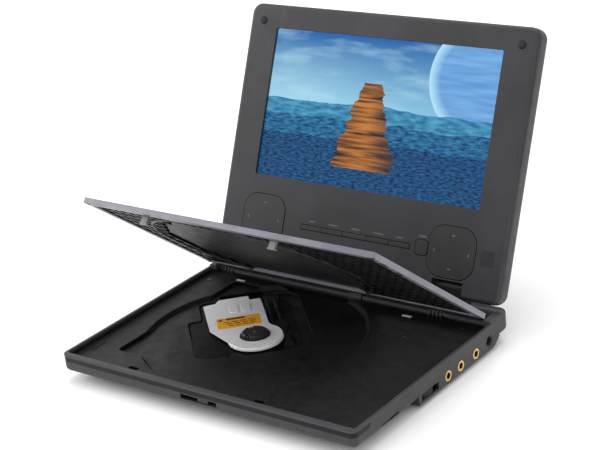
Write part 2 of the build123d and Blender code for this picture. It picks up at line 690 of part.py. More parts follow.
def back_screw_places():
    return [(side * 84, up) for side in (-1, 1) for up in (18, 138)]


def screen_screws():
    made = []
    for x, y in back_screw_places():
        low = -SCREEN_THICKNESS + 0.2
        head = post(x, y, low, low + 1.0, 2.5) - post(x, y, low - 1, low + 0.5, 0.9)
        made.append(SCREEN * (head + post(x, y, low + 1, low + 5.5, SHANK_RADIUS)))
    return Compound(children=made)


def lcd_glass():
    sheet = Pos(0, LCD_MIDDLE) * RectangleRounded(LCD_WIDTH + 4, LCD_HEIGHT + 3.4, 0.8)
    return SCREEN * slab(sheet, -BEZEL_WALL - 0.9, -BEZEL_WALL)


def lcd_module():
    sheet = Pos(0, LCD_MIDDLE) * RectangleRounded(165, 100, 1.0)
    return SCREEN * slab(sheet, -7.4, -BEZEL_WALL - 0.9)


def display_board():
    board = box(-60, 60, 55, 130, -9.6, -8.4)
    return SCREEN * (board + box(-20, 0, 70, 90, -10.6, -9.6) + box(20, 44, 100, 112, -10.6, -9.6))


def key_board():
    """Circuit strip behind the keys, with a switch under each."""
    board = box(-84, 84, 15, 41, -5.8, -4.6) - notches(2)
    for x, up in key_middles().values():
        board += post(x, up, -4.7, -3.8, 1.6)
    return SCREEN * board


def key_middles():
    places = {}
    for name, plan in key_plans().items():
        spot = plan.center()
        places[name] = (spot.X, spot.Y)
    return places


def key(name):
    plan = key_plans()[name]
    x, up = key_middles()[name]
    body = slab(plan, -KEY_DEPTH, KEY_PROUD)
    body = fillet(body.edges().group_by(Axis.Z)[-1], 0.2)
    return SCREEN * (body + post(x, up, -3.4, -KEY_DEPTH, 1.1))


def ir_window():
    x, up, size = IR_WINDOW
    return SCREEN * slab(Pos(x, up) * RectangleRounded(size - 0.1, size - 0.1, 0.95), -BEZEL_WALL, -0.05)


def bumpers():
    made = []
    for side in (-1, 1):
        dot = post(side * 88.8, 142, -0.9, 0.9, 2.2)
        made.append(SCREEN * fillet(dot.edges().group_by(Axis.Z)[-1], 0.8))
    return Compound(children=made)


def speakers():
    made = []
    for side in (-1, 1):
        frame = slab(Pos(side * 89.6, 68) * RectangleRounded(12.5, 38, 2), -9.6, -6.2)
        made.append(SCREEN * (frame + slab(Pos(side * 89.6, 68) * RectangleRounded(9, 24, 4), -6.3, -3.2)))
    return Compound(children=made)


def hinge_brackets():
    made = []
    x0, x1 = TOWER_X
    for side in (-1, 1):
        for x in (x0 - 3.9, x1 + 1.7):
            near, far = sorted((side * x, side * (x + 2.2)))
            plate = box(near, far, 3.8, 14.6, -9.8, -4.6)
            made.append(SCREEN * (plate - rod_x(near - 1, far + 1, PIN_UP, -PIN_BACK, PIN_RADIUS)))
    return Compound(children=made)


def hinge_pins():
    x0, x1 = TOWER_X
    pin = rod_x(x0 - 4.4, x1 + 4.4, PIN_UP, -PIN_BACK, PIN_RADIUS)
    return Compound(children=[SCREEN * pin, SCREEN * mirror(pin, Plane.YZ)])


def tower_foot():
    """The right tower from where it stands in the case up to its pin."""
    y, z = screen_axis()
    front, rear = TOWER_FOOT
    return box(TOWER_X[0] + 0.4, TOWER_X[1] - 0.4, y - front, y + rear, 0.4, z)


def hinge_towers():
    """Two ears of the case that carry the screen's pins."""
    y, z = screen_axis()
    x0, x1 = TOWER_X[0] + 0.4, TOWER_X[1] - 0.4
    ear = rod_x(x0, x1, y, z, TOWER_RADIUS) + tower_foot()
    ear -= rod_x(x0 - 1, x1 + 1, y, z, PIN_RADIUS + RUNNING)
    return Compound(children=[ear, mirror(ear, Plane.YZ)])


def make_all():
    for maker in (
        bottom_case, top_case, front_trim, rubber_feet, base_screws, deck_screws, battery_pack,
        main_board, jack_bodies, jack_rings, dc_socket, dc_pin, volume_wheel, volume_post,
        power_slider, charge_lamp, open_knob, latch_bar, traverse_cover, traverse_chassis,
        dampers, guide_rails, spindle_motor, spindle_shaft, turntable, turntable_pad,
        pickup_body, pickup_lens, sled_motor, lead_screw, pickup_guard, guard_label,
        cover_panel, cover_hooks, hinge_knuckles, cover_rod, cover_springs,
        cover_switch, bezel, back_shell, screen_screws, lcd_glass, lcd_module, display_board,
        key_board, ir_window, bumpers, speakers, hinge_brackets, hinge_pins,
        hinge_towers,
    ):
        keep(maker.__name__, maker())
    for name in key_plans():
        keep(name, key(name))


def export_all():
    os.makedirs("parts", exist_ok=True)
    whole = Compound(children=[Compound(piece.wrapped) for piece in PIECES.values()]).bounding_box()
    shift = Pos(-(whole.min.X + whole.max.X) / 2, -(whole.min.Y + whole.max.Y) / 2, -whole.min.Z)
    for name, piece in PIECES.items():
        export_step(shift * piece, f"parts/{name}.step")
    print("shift", shift.position, "size", whole.size)


make_all()
export_all()
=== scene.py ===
from math import cos, pi, radians, sin

import bmesh
import bpy
from mathutils import Matrix, Vector


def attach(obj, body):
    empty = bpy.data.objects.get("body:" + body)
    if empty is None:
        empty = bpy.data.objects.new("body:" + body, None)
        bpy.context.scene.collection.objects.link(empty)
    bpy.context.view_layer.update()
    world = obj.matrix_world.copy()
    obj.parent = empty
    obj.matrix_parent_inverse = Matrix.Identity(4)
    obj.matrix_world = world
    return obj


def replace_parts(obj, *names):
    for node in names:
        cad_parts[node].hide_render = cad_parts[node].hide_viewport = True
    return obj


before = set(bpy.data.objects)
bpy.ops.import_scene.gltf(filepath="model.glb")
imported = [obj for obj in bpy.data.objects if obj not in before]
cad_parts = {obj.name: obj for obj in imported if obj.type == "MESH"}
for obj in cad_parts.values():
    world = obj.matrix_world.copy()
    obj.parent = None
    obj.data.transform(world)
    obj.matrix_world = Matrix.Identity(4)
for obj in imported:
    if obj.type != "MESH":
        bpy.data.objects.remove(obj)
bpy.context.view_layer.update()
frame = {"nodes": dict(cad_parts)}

nodes = frame["nodes"]
print("frame loaded")

# Places. Pieces are drawn in millimetres in the maker's own frames and brought into metres at the end.
mm = 0.001
caseToRow = Matrix.Scale(mm, 4)
caseToRow.translation = Vector((0, -104.888 * mm, 15.0 * mm))
coverHinge = Vector((0, 135.5, -2.0))
coverOpen = radians(38.3)
coverToRow = (caseToRow @ Matrix.Translation(coverHinge) @ Matrix.Rotation(-coverOpen, 4, "X")
              @ Matrix.Translation(-coverHinge))
screenTilt = radians(24.24)
screenFoot = Vector((0, 137.24, 8.42))
screenAxes = Matrix.Rotation(pi / 2 - screenTilt, 3, "X")
screenToRow = caseToRow @ Matrix.Translation(screenFoot) @ screenAxes.to_4x4()
spindle = Vector((-19.3, 72.1, 0))
mechanismToRow = caseToRow @ Matrix.Translation(spindle) @ Matrix.Rotation(radians(135), 4, "Z")


class Tree:
    # a material's node tree with short ways to add to it
    def __init__(self, name):
        self.material = bpy.data.materials.new(name)
        self.material.use_nodes = True
        self.nodes = self.material.node_tree.nodes
        self.links = self.material.node_tree.links
        self.shader = self.nodes["Principled BSDF"]
        self.place = self.nodes.new("ShaderNodeTexCoord").outputs["Object"]

    def join(self, value, socket):
        if isinstance(value, bpy.types.NodeSocket):
            self.links.new(value, socket)
        elif value is not None:
            socket.default_value = value

    def noise(self, scale, detail=3.0, stretch=(1, 1, 1), place=None):
        mapping = self.nodes.new("ShaderNodeMapping")
        mapping.inputs["Scale"].default_value = stretch
        self.join(place or self.place, mapping.inputs["Vector"])
        node = self.nodes.new("ShaderNodeTexNoise")
        node.inputs["Scale"].default_value = scale
        node.inputs["Detail"].default_value = detail
        self.join(mapping.outputs[0], node.inputs["Vector"])
        return node.outputs["Fac"]

    def maths(self, work, first, second=None):
        node = self.nodes.new("ShaderNodeMath")
        node.operation = work
        self.join(first, node.inputs[0])
        self.join(second, node.inputs[1])
        return node.outputs[0]

    def spread(self, value, low, high, fromLow=0.0, fromHigh=1.0):
        node = self.nodes.new("ShaderNodeMapRange")
        self.join(value, node.inputs["Value"])
        node.inputs["From Min"].default_value = fromLow
        node.inputs["From Max"].default_value = fromHigh
        node.inputs["To Min"].default_value = low
        node.inputs["To Max"].default_value = high
        return node.outputs[0]

    def blend(self, share, first, second):
        node = self.nodes.new("ShaderNodeMix")
        node.data_type = "RGBA"
        self.join(share, node.inputs["Factor"])
        for value, socket in ((first, node.inputs[6]), (second, node.inputs[7])):
            self.join(value if isinstance(value, bpy.types.NodeSocket) else (*value, 1.0), socket)
        return node.outputs[2]

    def relief(self, height, distance, strength=1.0, under=None):
        node = self.nodes.new("ShaderNodeBump")
        node.inputs["Strength"].default_value = strength
        node.inputs["Distance"].default_value = distance
        self.join(height, node.inputs["Height"])
        self.join(under, node.inputs["Normal"])
        return node.outputs[0]

    def softEdge(self, radius):
        node = self.nodes.new("ShaderNodeBevel")
        node.samples = 4
        node.inputs["Radius"].default_value = radius
        return node.outputs[0]


# One entry per material slot and printing ink: colour, how rough, grain size and height, how much the
# colour wanders, the radius that its edges are rounded to, how much light it sends straight back, and
# where it matters how metallic it is and which way its grain is drawn out.
finishes = {
    "case_plastic": dict(colour=(0.024, 0.0235, 0.026), rough=0.40, grain=3200, height=6e-6, wander=0.18,
                         edge=5e-4, shine=0.42),
    "deck_plastic": dict(colour=(0.0070, 0.0064, 0.0065), rough=0.48, grain=2600, height=1.2e-5, wander=0.25,
                         edge=3e-4, shine=0.26),
    "cover_plastic": dict(colour=(0.155, 0.152, 0.185), rough=0.34, grain=2400, height=6e-6, wander=0.15,
                          edge=3e-4, shine=0.55),
    "bezel_plastic": dict(colour=(0.021, 0.0205, 0.0235), rough=0.44, grain=3000, height=8e-6, wander=0.15,
                          edge=4e-4, shine=0.40),
    "key_plastic": dict(colour=(0.015, 0.0145, 0.0165), rough=0.38, grain=3000, height=5e-6, wander=0.12,
                        edge=2e-4, shine=0.45),
    "gloss_black": dict(colour=(0.006, 0.006, 0.007), rough=0.12, grain=1500, height=1e-6, wander=0.2,
                        edge=3e-4, shine=0.5),
    "mechanism_plastic": dict(colour=(0.020, 0.020, 0.021), rough=0.48, grain=2500, height=1e-5, wander=0.2,
                              edge=2e-4, shine=0.4),
    "smoked_lens": dict(colour=(0.030, 0.030, 0.036), rough=0.10, grain=900, height=1e-6, wander=0.2,
                        edge=2e-4, shine=0.5),
    "black_rubber": dict(colour=(0.016, 0.016, 0.017), rough=0.75, grain=2200, height=1.6e-5, wander=0.2,
                         edge=2e-4, shine=0.3),
    "dark_steel": dict(colour=(0.10, 0.10, 0.105), rough=0.38, grain=2600, height=4e-6, wander=0.2,
                       edge=1e-4, shine=0.5, metal=1.0, stretch=(1, 9, 1)),
    "steel": dict(colour=(0.52, 0.52, 0.53), rough=0.26, grain=2400, height=2e-6, wander=0.1,
                  edge=1e-4, shine=0.5, metal=1.0, stretch=(9, 1, 1)),
    "bright_sheet": dict(colour=(0.80, 0.80, 0.82), rough=0.34, grain=2200, height=3e-6, wander=0.05,
                         edge=2.5e-4, shine=0.6, metal=0.1, stretch=(1, 5, 1)),
    "gold_plate": dict(colour=(0.80, 0.52, 0.20), rough=0.22, grain=2600, height=2e-6, wander=0.1,
                       edge=2e-4, shine=0.5, metal=1.0),
    "label_orange": dict(colour=(0.86, 0.38, 0.02), rough=0.45, grain=3500, height=3e-6, wander=0.08,
                         edge=1e-4, shine=0.4),
    "battery_wrap": dict(colour=(0.02, 0.05, 0.13), rough=0.35, grain=900, height=2e-6, wander=0.2,
                         edge=2e-4, shine=0.5),
    "circuit_board": dict(colour=(0.01, 0.11, 0.045), rough=0.4, grain=700, height=6e-6, wander=0.4,
                          edge=1e-4, shine=0.5),
    "lens_glass": dict(colour=(0.10, 0.08, 0.20), rough=0.05, grain=800, height=1e-6, wander=0.3,
                       edge=1e-4, shine=0.8),
    "display_face": dict(colour=(0.01, 0.01, 0.012), rough=0.2, grain=800, height=1e-6, wander=0.2,
                         edge=1e-4, shine=0.5),
    "print_white": dict(colour=(0.11, 0.11, 0.115), rough=0.5, grain=3000, height=1e-6, wander=0.1,
                        edge=1e-4, shine=0.3),
    "print_dark": dict(colour=(0.035, 0.022, 0.012), rough=0.5, grain=3000, height=1e-6, wander=0.1,
                       edge=1e-4, shine=0.3),
}


# What every finish shares: broad patches, dulling by hands and cloths, and fine light specks.
wear = dict(patchScale=38.0, handledScale=160.0, patchFrom=0.35, patchTo=0.65, lift=0.002, shinier=0.05,
            duller=0.08, speckFrom=0.62, speckTo=0.72, speckShare=0.35, speckLift=1.5)


def makeFinish(name, colour, rough, grain, height, wander, edge, shine, metal=0.0, stretch=(1, 1, 1)):
    tree = Tree(name)
    patchFrom, patchTo = wear["patchFrom"], wear["patchTo"]
    fine = tree.noise(grain, 2.0, stretch)
    broad = tree.noise(wear["patchScale"], 4.0)
    handled = tree.noise(wear["handledScale"], 5.0)
    lighter = [min(1.0, c * (1 + wander) + wear["lift"]) for c in colour]
    darker = [c * (1 - wander) for c in colour]
    specked = [min(1.0, c * wear["speckLift"]) for c in colour]
    tone = tree.blend(tree.spread(broad, 0, 1, patchFrom, patchTo), darker, lighter)
    speck = tree.spread(fine, 0.0, wear["speckShare"], wear["speckFrom"], wear["speckTo"])
    tree.join(tree.blend(speck, tone, specked), tree.shader.inputs["Base Color"])
    dull = tree.spread(handled, rough - wear["shinier"], rough + wear["duller"], patchFrom, patchTo)
    tree.join(dull, tree.shader.inputs["Roughness"])
    tree.shader.inputs["Metallic"].default_value = metal
    tree.shader.inputs["Specular IOR Level"].default_value = shine
    tree.join(tree.relief(fine, height, 1.0, tree.softEdge(edge)), tree.shader.inputs["Normal"])
    return tree.material


materials = {name: makeFinish(name, **settings) for name, settings in finishes.items()}
for node in nodes.values():
    for index, old in enumerate(node.data.materials):
        node.data.materials[index] = materials[old.name.split(".")[0]]


def paintRimHighlight(material, above=0.0148, colour=(0.050, 0.048, 0.054)):
    # the top of the deck moulding's raised rim is coloured lighter: a painted highlight along the rim
    nodes, links = material.node_tree.nodes, material.node_tree.links
    shader = nodes["Principled BSDF"]
    base = shader.inputs["Base Color"].links[0].from_socket
    parts = nodes.new("ShaderNodeSeparateXYZ")
    links.new(nodes.new("ShaderNodeTexCoord").outputs["Object"], parts.inputs[0])
    over = nodes.new("ShaderNodeMath")
    over.operation = "GREATER_THAN"
    over.inputs[1].default_value = above
    links.new(parts.outputs["Z"], over.inputs[0])
    mix = nodes.new("ShaderNodeMix")
    mix.data_type = "RGBA"
    links.new(over.outputs[0], mix.inputs["Factor"])
    links.new(base, mix.inputs[6])
    mix.inputs[7].default_value = (*colour, 1)
    links.new(mix.outputs[2], shader.inputs["Base Color"])


def finishNode(node, settings):
    # one CAD node with a finish of its own
    made = makeFinish(node + "_finish", **settings)
    for index in range(len(nodes[node].data.materials)):
        nodes[node].data.materials[index] = made
    return made


# the deck's raised rim gets a painted highlight on its top
paintRimHighlight(finishNode("top_case", finishes["deck_plastic"] | dict(edge=7e-4)))
trimFinish = finishes["gloss_black"] | dict(colour=(0.002, 0.002, 0.003), rough=0.18, shine=0.22)
finishNode("front_trim", trimFinish)
finishNode("hinge_knuckles", finishes["case_plastic"] | dict(colour=(0.020, 0.020, 0.022)))
finishNode("traverse_cover", finishes["deck_plastic"] | dict(colour=(0.0025, 0.0025, 0.003), shine=0.12))
finishNode("cover_hooks", finishes["cover_plastic"] | dict(colour=(0.16, 0.16, 0.175)))
finishNode("cover_springs", finishes["bright_sheet"] | dict(colour=(0.80, 0.77, 0.66)))
materials["pan_gloss"] = makeFinish("pan_gloss", **(finishes["cover_plastic"] | dict(
    colour=(0.016, 0.0155, 0.0165), rough=0.46, height=5e-7, shine=0.5)))
materials["grille_black"] = makeFinish("grille_black", **(finishes["deck_plastic"] | dict(
    colour=(0.004, 0.004, 0.0045), rough=0.42, shine=0.2)))
innerNodes = ("guide_rails", "lead_screw", "sled_motor", "spindle_motor", "pickup_body",
              "traverse_chassis")
for inner in innerNodes:
    finishNode(inner, finishes["dark_steel"] | dict(colour=(0.030, 0.030, 0.032), metal=0.3))
print("finishes made")


def block(mesh, low, high, soften):
    made = bmesh.ops.create_cube(mesh, size=1.0)["verts"]
    low, high = Vector(low), Vector(high)
    size = high - low
    bmesh.ops.scale(mesh, vec=size, verts=made)
    bmesh.ops.translate(mesh, vec=(low + high) / 2, verts=made)
    edges = list({e for v in made for e in v.link_edges})
    bmesh.ops.bevel(mesh, geom=edges, offset=soften, offset_type="OFFSET", affect="EDGES",
                    segments=2, profile=0.5, material=-1, clamp_overlap=True)


def tube(mesh, start, end, y, z, radius, sides=24):
    made = bmesh.ops.create_cone(mesh, cap_ends=True, segments=sides, radius1=radius, radius2=radius,
                                 depth=end - start)["verts"]
    bmesh.ops.rotate(mesh, cent=(0, 0, 0), matrix=Matrix.Rotation(pi / 2, 3, "Y"), verts=made)
    bmesh.ops.translate(mesh, vec=((start + end) / 2, y, z), verts=made)


def plate(mesh, x, y, width, depth, low, high, radius, segments=6):
    # a flat sheet with rounded corners
    made = bmesh.ops.create_grid(mesh, x_segments=1, y_segments=1, size=0.5)["verts"]
    bmesh.ops.scale(mesh, vec=(width, depth, 1), verts=made)
    bmesh.ops.translate(mesh, vec=(x, y, low), verts=made)
    before = set(mesh.faces) - {f for v in made for f in v.link_faces}
    bmesh.ops.bevel(mesh, geom=made, offset=radius, offset_type="OFFSET", affect="VERTICES",
                    segments=segments, profile=0.5, material=-1)
    face = [f for f in mesh.faces if f not in before]
    grown = bmesh.ops.extrude_face_region(mesh, geom=face)["geom"]
    top = [v for v in grown if isinstance(v, bmesh.types.BMVert)]
    bmesh.ops.translate(mesh, vec=(0, 0, high - low), verts=top)


def finishPiece(mesh, name, toRow, body, slotName, material=None, smooth=35.0):
    bmesh.ops.recalc_face_normals(mesh, faces=mesh.faces)
    bmesh.ops.transform(mesh, matrix=toRow, verts=mesh.verts)
    data = bpy.data.meshes.new(name)
    mesh.to_mesh(data)
    mesh.free()
    piece = bpy.data.objects.new(name, data)
    bpy.context.scene.collection.objects.link(piece)
    data.materials.append(material or materials[slotName])
    data.polygons.foreach_set("use_smooth", [True] * len(data.polygons))
    data.set_sharp_from_angle(angle=radians(smooth))
    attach(piece, body)
    return piece


# Disc cover: a frame, a grille of square holes and a round pan, drawn shut.
cover = dict(width=193.8, front=3.9, rear=124.2, low=-1.6, top=1.5, corner=1.0, border=4.2, edge=0.35,
             sharpFrom=1.2, levelWithin=0.01)


def makeCoverFrame():
    mesh = bmesh.new()
    depth = cover["rear"] - cover["front"]
    middle = (cover["front"] + cover["rear"]) / 2
    made = bmesh.ops.create_grid(mesh, x_segments=1, y_segments=1, size=0.5)["verts"]
    bmesh.ops.scale(mesh, vec=(cover["width"], depth, 1), verts=made)
    bmesh.ops.translate(mesh, vec=(0, middle, cover["low"]), verts=made)
    bmesh.ops.bevel(mesh, geom=made, offset=cover["corner"], offset_type="OFFSET", affect="VERTICES",
                    segments=8, profile=0.5, material=-1)
    bmesh.ops.inset_region(mesh, faces=list(mesh.faces), thickness=cover["border"], use_boundary=True,
                           use_even_offset=True)
    centre = Vector((0, middle, cover["low"]))
    inner = min(mesh.faces, key=lambda f: (f.calc_center_median() - centre).length)
    bmesh.ops.delete(mesh, geom=[inner], context="FACES")
    grown = bmesh.ops.extrude_face_region(mesh, geom=list(mesh.faces))["geom"]
    top = [v for v in grown if isinstance(v, bmesh.types.BMVert)]
    bmesh.ops.translate(mesh, vec=(0, 0, cover["top"] - cover["low"]), verts=top)
    rims = [e for e in mesh.edges if len(e.link_faces) == 2 and e.calc_face_angle() > cover["sharpFrom"]
            and abs(e.verts[0].co.z - e.verts[1].co.z) < cover["levelWithin"]]
    bmesh.ops.bevel(mesh, geom=rims, offset=cover["edge"], offset_type="OFFSET", affect="EDGES",
                    segments=2, profile=0.5, material=-1, clamp_overlap=True)
    return mesh


# One cell is left open at the front left corner.
grille = dict(cellsAcross=34, cellsDeep=13, bar=1.1, tuck=0.5, underPan=5.0, openBefore=(-88.0, 18.0),
              top=0.9, thick=1.9)


def makeGrille():
    mesh = bmesh.new()
    width = cover["width"] - 2 * cover["border"] + 2 * grille["tuck"]
    depth = cover["rear"] - cover["front"] - 2 * cover["border"] + 2 * grille["tuck"]
    middle = (cover["front"] + cover["rear"]) / 2
    made = bmesh.ops.create_grid(mesh, x_segments=grille["cellsAcross"], y_segments=grille["cellsDeep"],
                                 size=0.5)["verts"]
    bmesh.ops.scale(mesh, vec=(width, depth, 1), verts=made)
    bmesh.ops.translate(mesh, vec=(0, middle, 0), verts=made)
    middles = {f: f.calc_center_median() for f in mesh.faces}
    openX, openY = grille["openBefore"]
    hidden = pan["rim"] - grille["underPan"]
    covered = [f for f, at in middles.items()
               if (at - spindle).length < hidden or (at.x < openX and at.y < openY)]
    bmesh.ops.delete(mesh, geom=covered, context="FACES")
    holes = bmesh.ops.inset_individual(mesh, faces=list(mesh.faces), thickness=grille["bar"])["faces"]
    inside = [f for f in mesh.faces if f not in set(holes)]
    bmesh.ops.delete(mesh, geom=inside, context="FACES")
    bmesh.ops.translate(mesh, vec=(0, 0, grille["top"]), verts=mesh.verts)
    grown = bmesh.ops.extrude_face_region(mesh, geom=list(mesh.faces))["geom"]
    low = [v for v in grown if isinstance(v, bmesh.types.BMVert)]
    bmesh.ops.translate(mesh, vec=(0, 0, -grille["thick"]), verts=low)
    return mesh


# Each step of the dish is how far in from the pan's edge and how far below its floor.
pan = dict(radius=63.0, rim=64.3, floor=0.3, dish=((2.4, 0.0), (1.2, 0.3), (0.4, 1.0)), lip=0.4,
           shoulder=1.0, round=0.5, top=1.45, rearCut=127.5, steps=128)


def makePan():
    mesh = bmesh.new()
    inner, outer, floor = pan["radius"], pan["rim"], pan["floor"]
    low, top, lip = cover["low"], pan["top"], pan["lip"]
    dish = [(inner - back, floor - drop) for back, drop in pan["dish"]]
    wall = [(inner, low), (outer - lip, low), (outer, low + lip), (outer, pan["shoulder"]),
            (outer - pan["round"], top)]
    profile = [(0.0, floor)] + dish + wall + [(0.0, top)]
    points = [mesh.verts.new((r, 0, z)) for r, z in profile]
    edges = [mesh.edges.new(pair) for pair in zip(points, points[1:])]
    bmesh.ops.spin(mesh, geom=points + edges, cent=(0, 0, 0), axis=(0, 0, 1), angle=2 * pi,
                   steps=pan["steps"], use_merge=True)
    bmesh.ops.remove_doubles(mesh, verts=mesh.verts, dist=1e-4)
    bmesh.ops.translate(mesh, vec=spindle, verts=mesh.verts)
    cut = bmesh.ops.bisect_plane(mesh, geom=list(mesh.verts) + list(mesh.edges) + list(mesh.faces),
                                 plane_co=(0, pan["rearCut"], 0), plane_no=(0, 1, 0), clear_outer=True)
    bmesh.ops.contextual_create(mesh, geom=[e for e in cut["geom_cut"] if isinstance(e, bmesh.types.BMEdge)])
    return mesh


spine = dict(reach=93.0, front=122.5, leafEnd=130.4, raised=0.3, top=0.9, soften=0.3, tube=2.7,
             tubeSpans=((-82.8, 1.3), (11.3, 55.7), (66.7, 93.0)), leafLap=0.6, leafTop=0.7,
             leafSoften=0.2, lap=0.2)
cornerTab = dict(x=(92.2, 95.2), y=(4.6, 7.2), low=-2.05, soften=0.25)
edgeStops = dict(x=(94.4, 96.6), fronts=(14.0, 30.0), length=5.5, low=-1.95, soften=0.2)


def makeSpine():
    mesh = bmesh.new()
    low, end = cover["low"] + spine["raised"], spine["leafEnd"]
    block(mesh, (-spine["reach"], spine["front"], low), (spine["reach"], end, spine["top"]), spine["soften"])
    for start, stop in spine["tubeSpans"]:
        block(mesh, (start, end - spine["leafLap"], low), (stop, coverHinge.y, spine["leafTop"]),
              spine["leafSoften"])
        tube(mesh, start, stop, coverHinge.y, coverHinge.z, spine["tube"])
    under = cover["low"] + spine["lap"]
    (left, right), (front, rear) = cornerTab["x"], cornerTab["y"]
    block(mesh, (left, front, cornerTab["low"]), (right, rear, under), cornerTab["soften"])
    left, right = edgeStops["x"]
    for front in edgeStops["fronts"]:
        block(mesh, (left, front, edgeStops["low"]), (right, front + edgeStops["length"], under),
              edgeStops["soften"])
    return mesh


coverPieces = [
    finishPiece(makeCoverFrame(), "coverFrame", coverToRow, "cover", "cover_plastic"),
    finishPiece(makeGrille(), "coverGrille", coverToRow, "cover", "deck_plastic", materials["grille_black"]),
    finishPiece(makePan(), "coverPan", coverToRow, "cover", "deck_plastic", materials["pan_gloss"]),
    finishPiece(makeSpine(), "coverSpine", coverToRow, "cover", "deck_plastic", materials["pan_gloss"]),
]
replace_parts(coverPieces[0], "cover_panel")
print("cover made")


# The picture on the screen: a blue hill country under a large pale moon. Places in it run from 0 to 1
# across and up, except that the moon's place and radius are measured in heights of the picture.
picture = dict(width=156.4, height=88.0, middle=94.2, margin=2.0, marginUp=1.6, front=-1.8, behind=0.02,
               thick=0.8, corner=0.8, aspect=1.78, glow=0.95, shine=0.12, glass=(0.004, 0.004, 0.005),
               surround=(0.002, 0.002, 0.002))
sky = dict(low=(0.30, 0.66, 0.86), high=(0.015, 0.13, 0.42), horizon=0.45, haze=(0.55, 0.88, 0.98),
           hazeShare=0.45, hazeAcross=(0.15, 0.62), hazeUp=(0.5, 0.95), cloud=(0.50, 0.80, 0.93),
           cloudShare=0.5, cloudRange=(0.48, 0.72))
moon = dict(across=1.62, up=0.80, radius=0.36, edgeFrom=0.28, dark=(0.02, 0.16, 0.55),
            light=(0.30, 0.62, 0.95), edge=(0.50, 0.82, 1.0))
ridges = (                                               # the nearest is the darkest
    dict(foot=0.47, swing=0.16, scale=3.2, shaded=(0.015, 0.15, 0.32), lit=(0.10, 0.42, 0.64)),
    dict(foot=0.37, swing=0.14, scale=5.5, shaded=(0.003, 0.045, 0.14), lit=(0.04, 0.26, 0.50)),
    dict(foot=0.26, swing=0.10, scale=8.0, shaded=(0.001, 0.012, 0.06), lit=(0.02, 0.15, 0.36)),
)
rock = dict(across=0.47, foot=0.13, top=0.70, halfWidths=(0.14, 0.035), narrows=(0.12, 0.72), wobble=0.05,
            dark=(0.030, 0.020, 0.020), warm=(0.60, 0.22, 0.04), bandRange=(0.38, 0.62),
            shadow=(0.012, 0.02, 0.045), shadowShare=0.75, shadowReach=0.12)


def drawSky(tree, across, up, place):
    tone = tree.blend(tree.spread(up, 0, 1, sky["horizon"], 1.0), sky["low"], sky["high"])
    left = tree.spread(across, 1, 0, *sky["hazeAcross"])
    under = tree.spread(up, 1, 0, *sky["hazeUp"])
    haze = tree.maths("MULTIPLY", tree.maths("MULTIPLY", left, under), sky["hazeShare"])
    tone = tree.blend(haze, tone, sky["haze"])
    cloud = tree.noise(4.0, 6.0, (1, 2.4, 1), place)
    return tree.blend(tree.spread(cloud, 0, sky["cloudShare"], *sky["cloudRange"]), tone, sky["cloud"])


def drawMoon(tree, across, up, place, behind):
    right = tree.maths("SUBTRACT", tree.maths("MULTIPLY", across, picture["aspect"]), moon["across"])
    high = tree.maths("SUBTRACT", up, moon["up"])
    squares = tree.maths("ADD", tree.maths("MULTIPLY", right, right), tree.maths("MULTIPLY", high, high))
    far = tree.maths("SQRT", squares)
    tone = tree.blend(tree.noise(5.0, 5.0, (1, 5, 1), place), moon["dark"], moon["light"])
    tone = tree.blend(tree.spread(far, 0, 1, moon["edgeFrom"], moon["radius"]), tone, moon["edge"])
    return tree.blend(tree.maths("LESS_THAN", far, moon["radius"]), behind, tone)


def drawRidge(tree, up, place, behind, foot, swing, scale, shaded, lit):
    height = tree.noise(scale, 6.0, (1, 0.15, 1), place)
    line = tree.maths("ADD", tree.maths("MULTIPLY", height, swing), foot)
    rough = tree.noise(scale * 6, 8.0, (1, 2, 1), place)
    ground = tree.blend(tree.spread(rough, 0, 1, 0.35, 0.7), shaded, lit)
    return tree.blend(tree.maths("LESS_THAN", up, line), behind, ground)


def drawRock(tree, across, up, place, behind):
    # a warm tower of rock with its right side in shadow
    offset = tree.maths("SUBTRACT", across, rock["across"])
    wobble = tree.spread(tree.noise(9.0, 6.0, (1, 1.6, 1), place), -rock["wobble"], rock["wobble"])
    halfWidth = tree.spread(up, *rock["halfWidths"], *rock["narrows"])
    inside = tree.maths("LESS_THAN", tree.maths("ABSOLUTE", tree.maths("ADD", offset, wobble)), halfWidth)
    inside = tree.maths("MULTIPLY", inside, tree.maths("LESS_THAN", up, rock["top"]))
    inside = tree.maths("MULTIPLY", inside, tree.maths("GREATER_THAN", up, rock["foot"]))
    bands = tree.noise(7.0, 7.0, (0.7, 5, 1), place)
    tone = tree.blend(tree.spread(bands, 0, 1, *rock["bandRange"]), rock["dark"], rock["warm"])
    shade = tree.spread(offset, 0, rock["shadowShare"], 0.0, rock["shadowReach"])
    return tree.blend(inside, behind, tree.blend(shade, tone, rock["shadow"]))


def withinPicture(tree, value):
    return tree.maths("LESS_THAN", tree.maths("ABSOLUTE", tree.maths("SUBTRACT", value, 0.5)), 0.5)


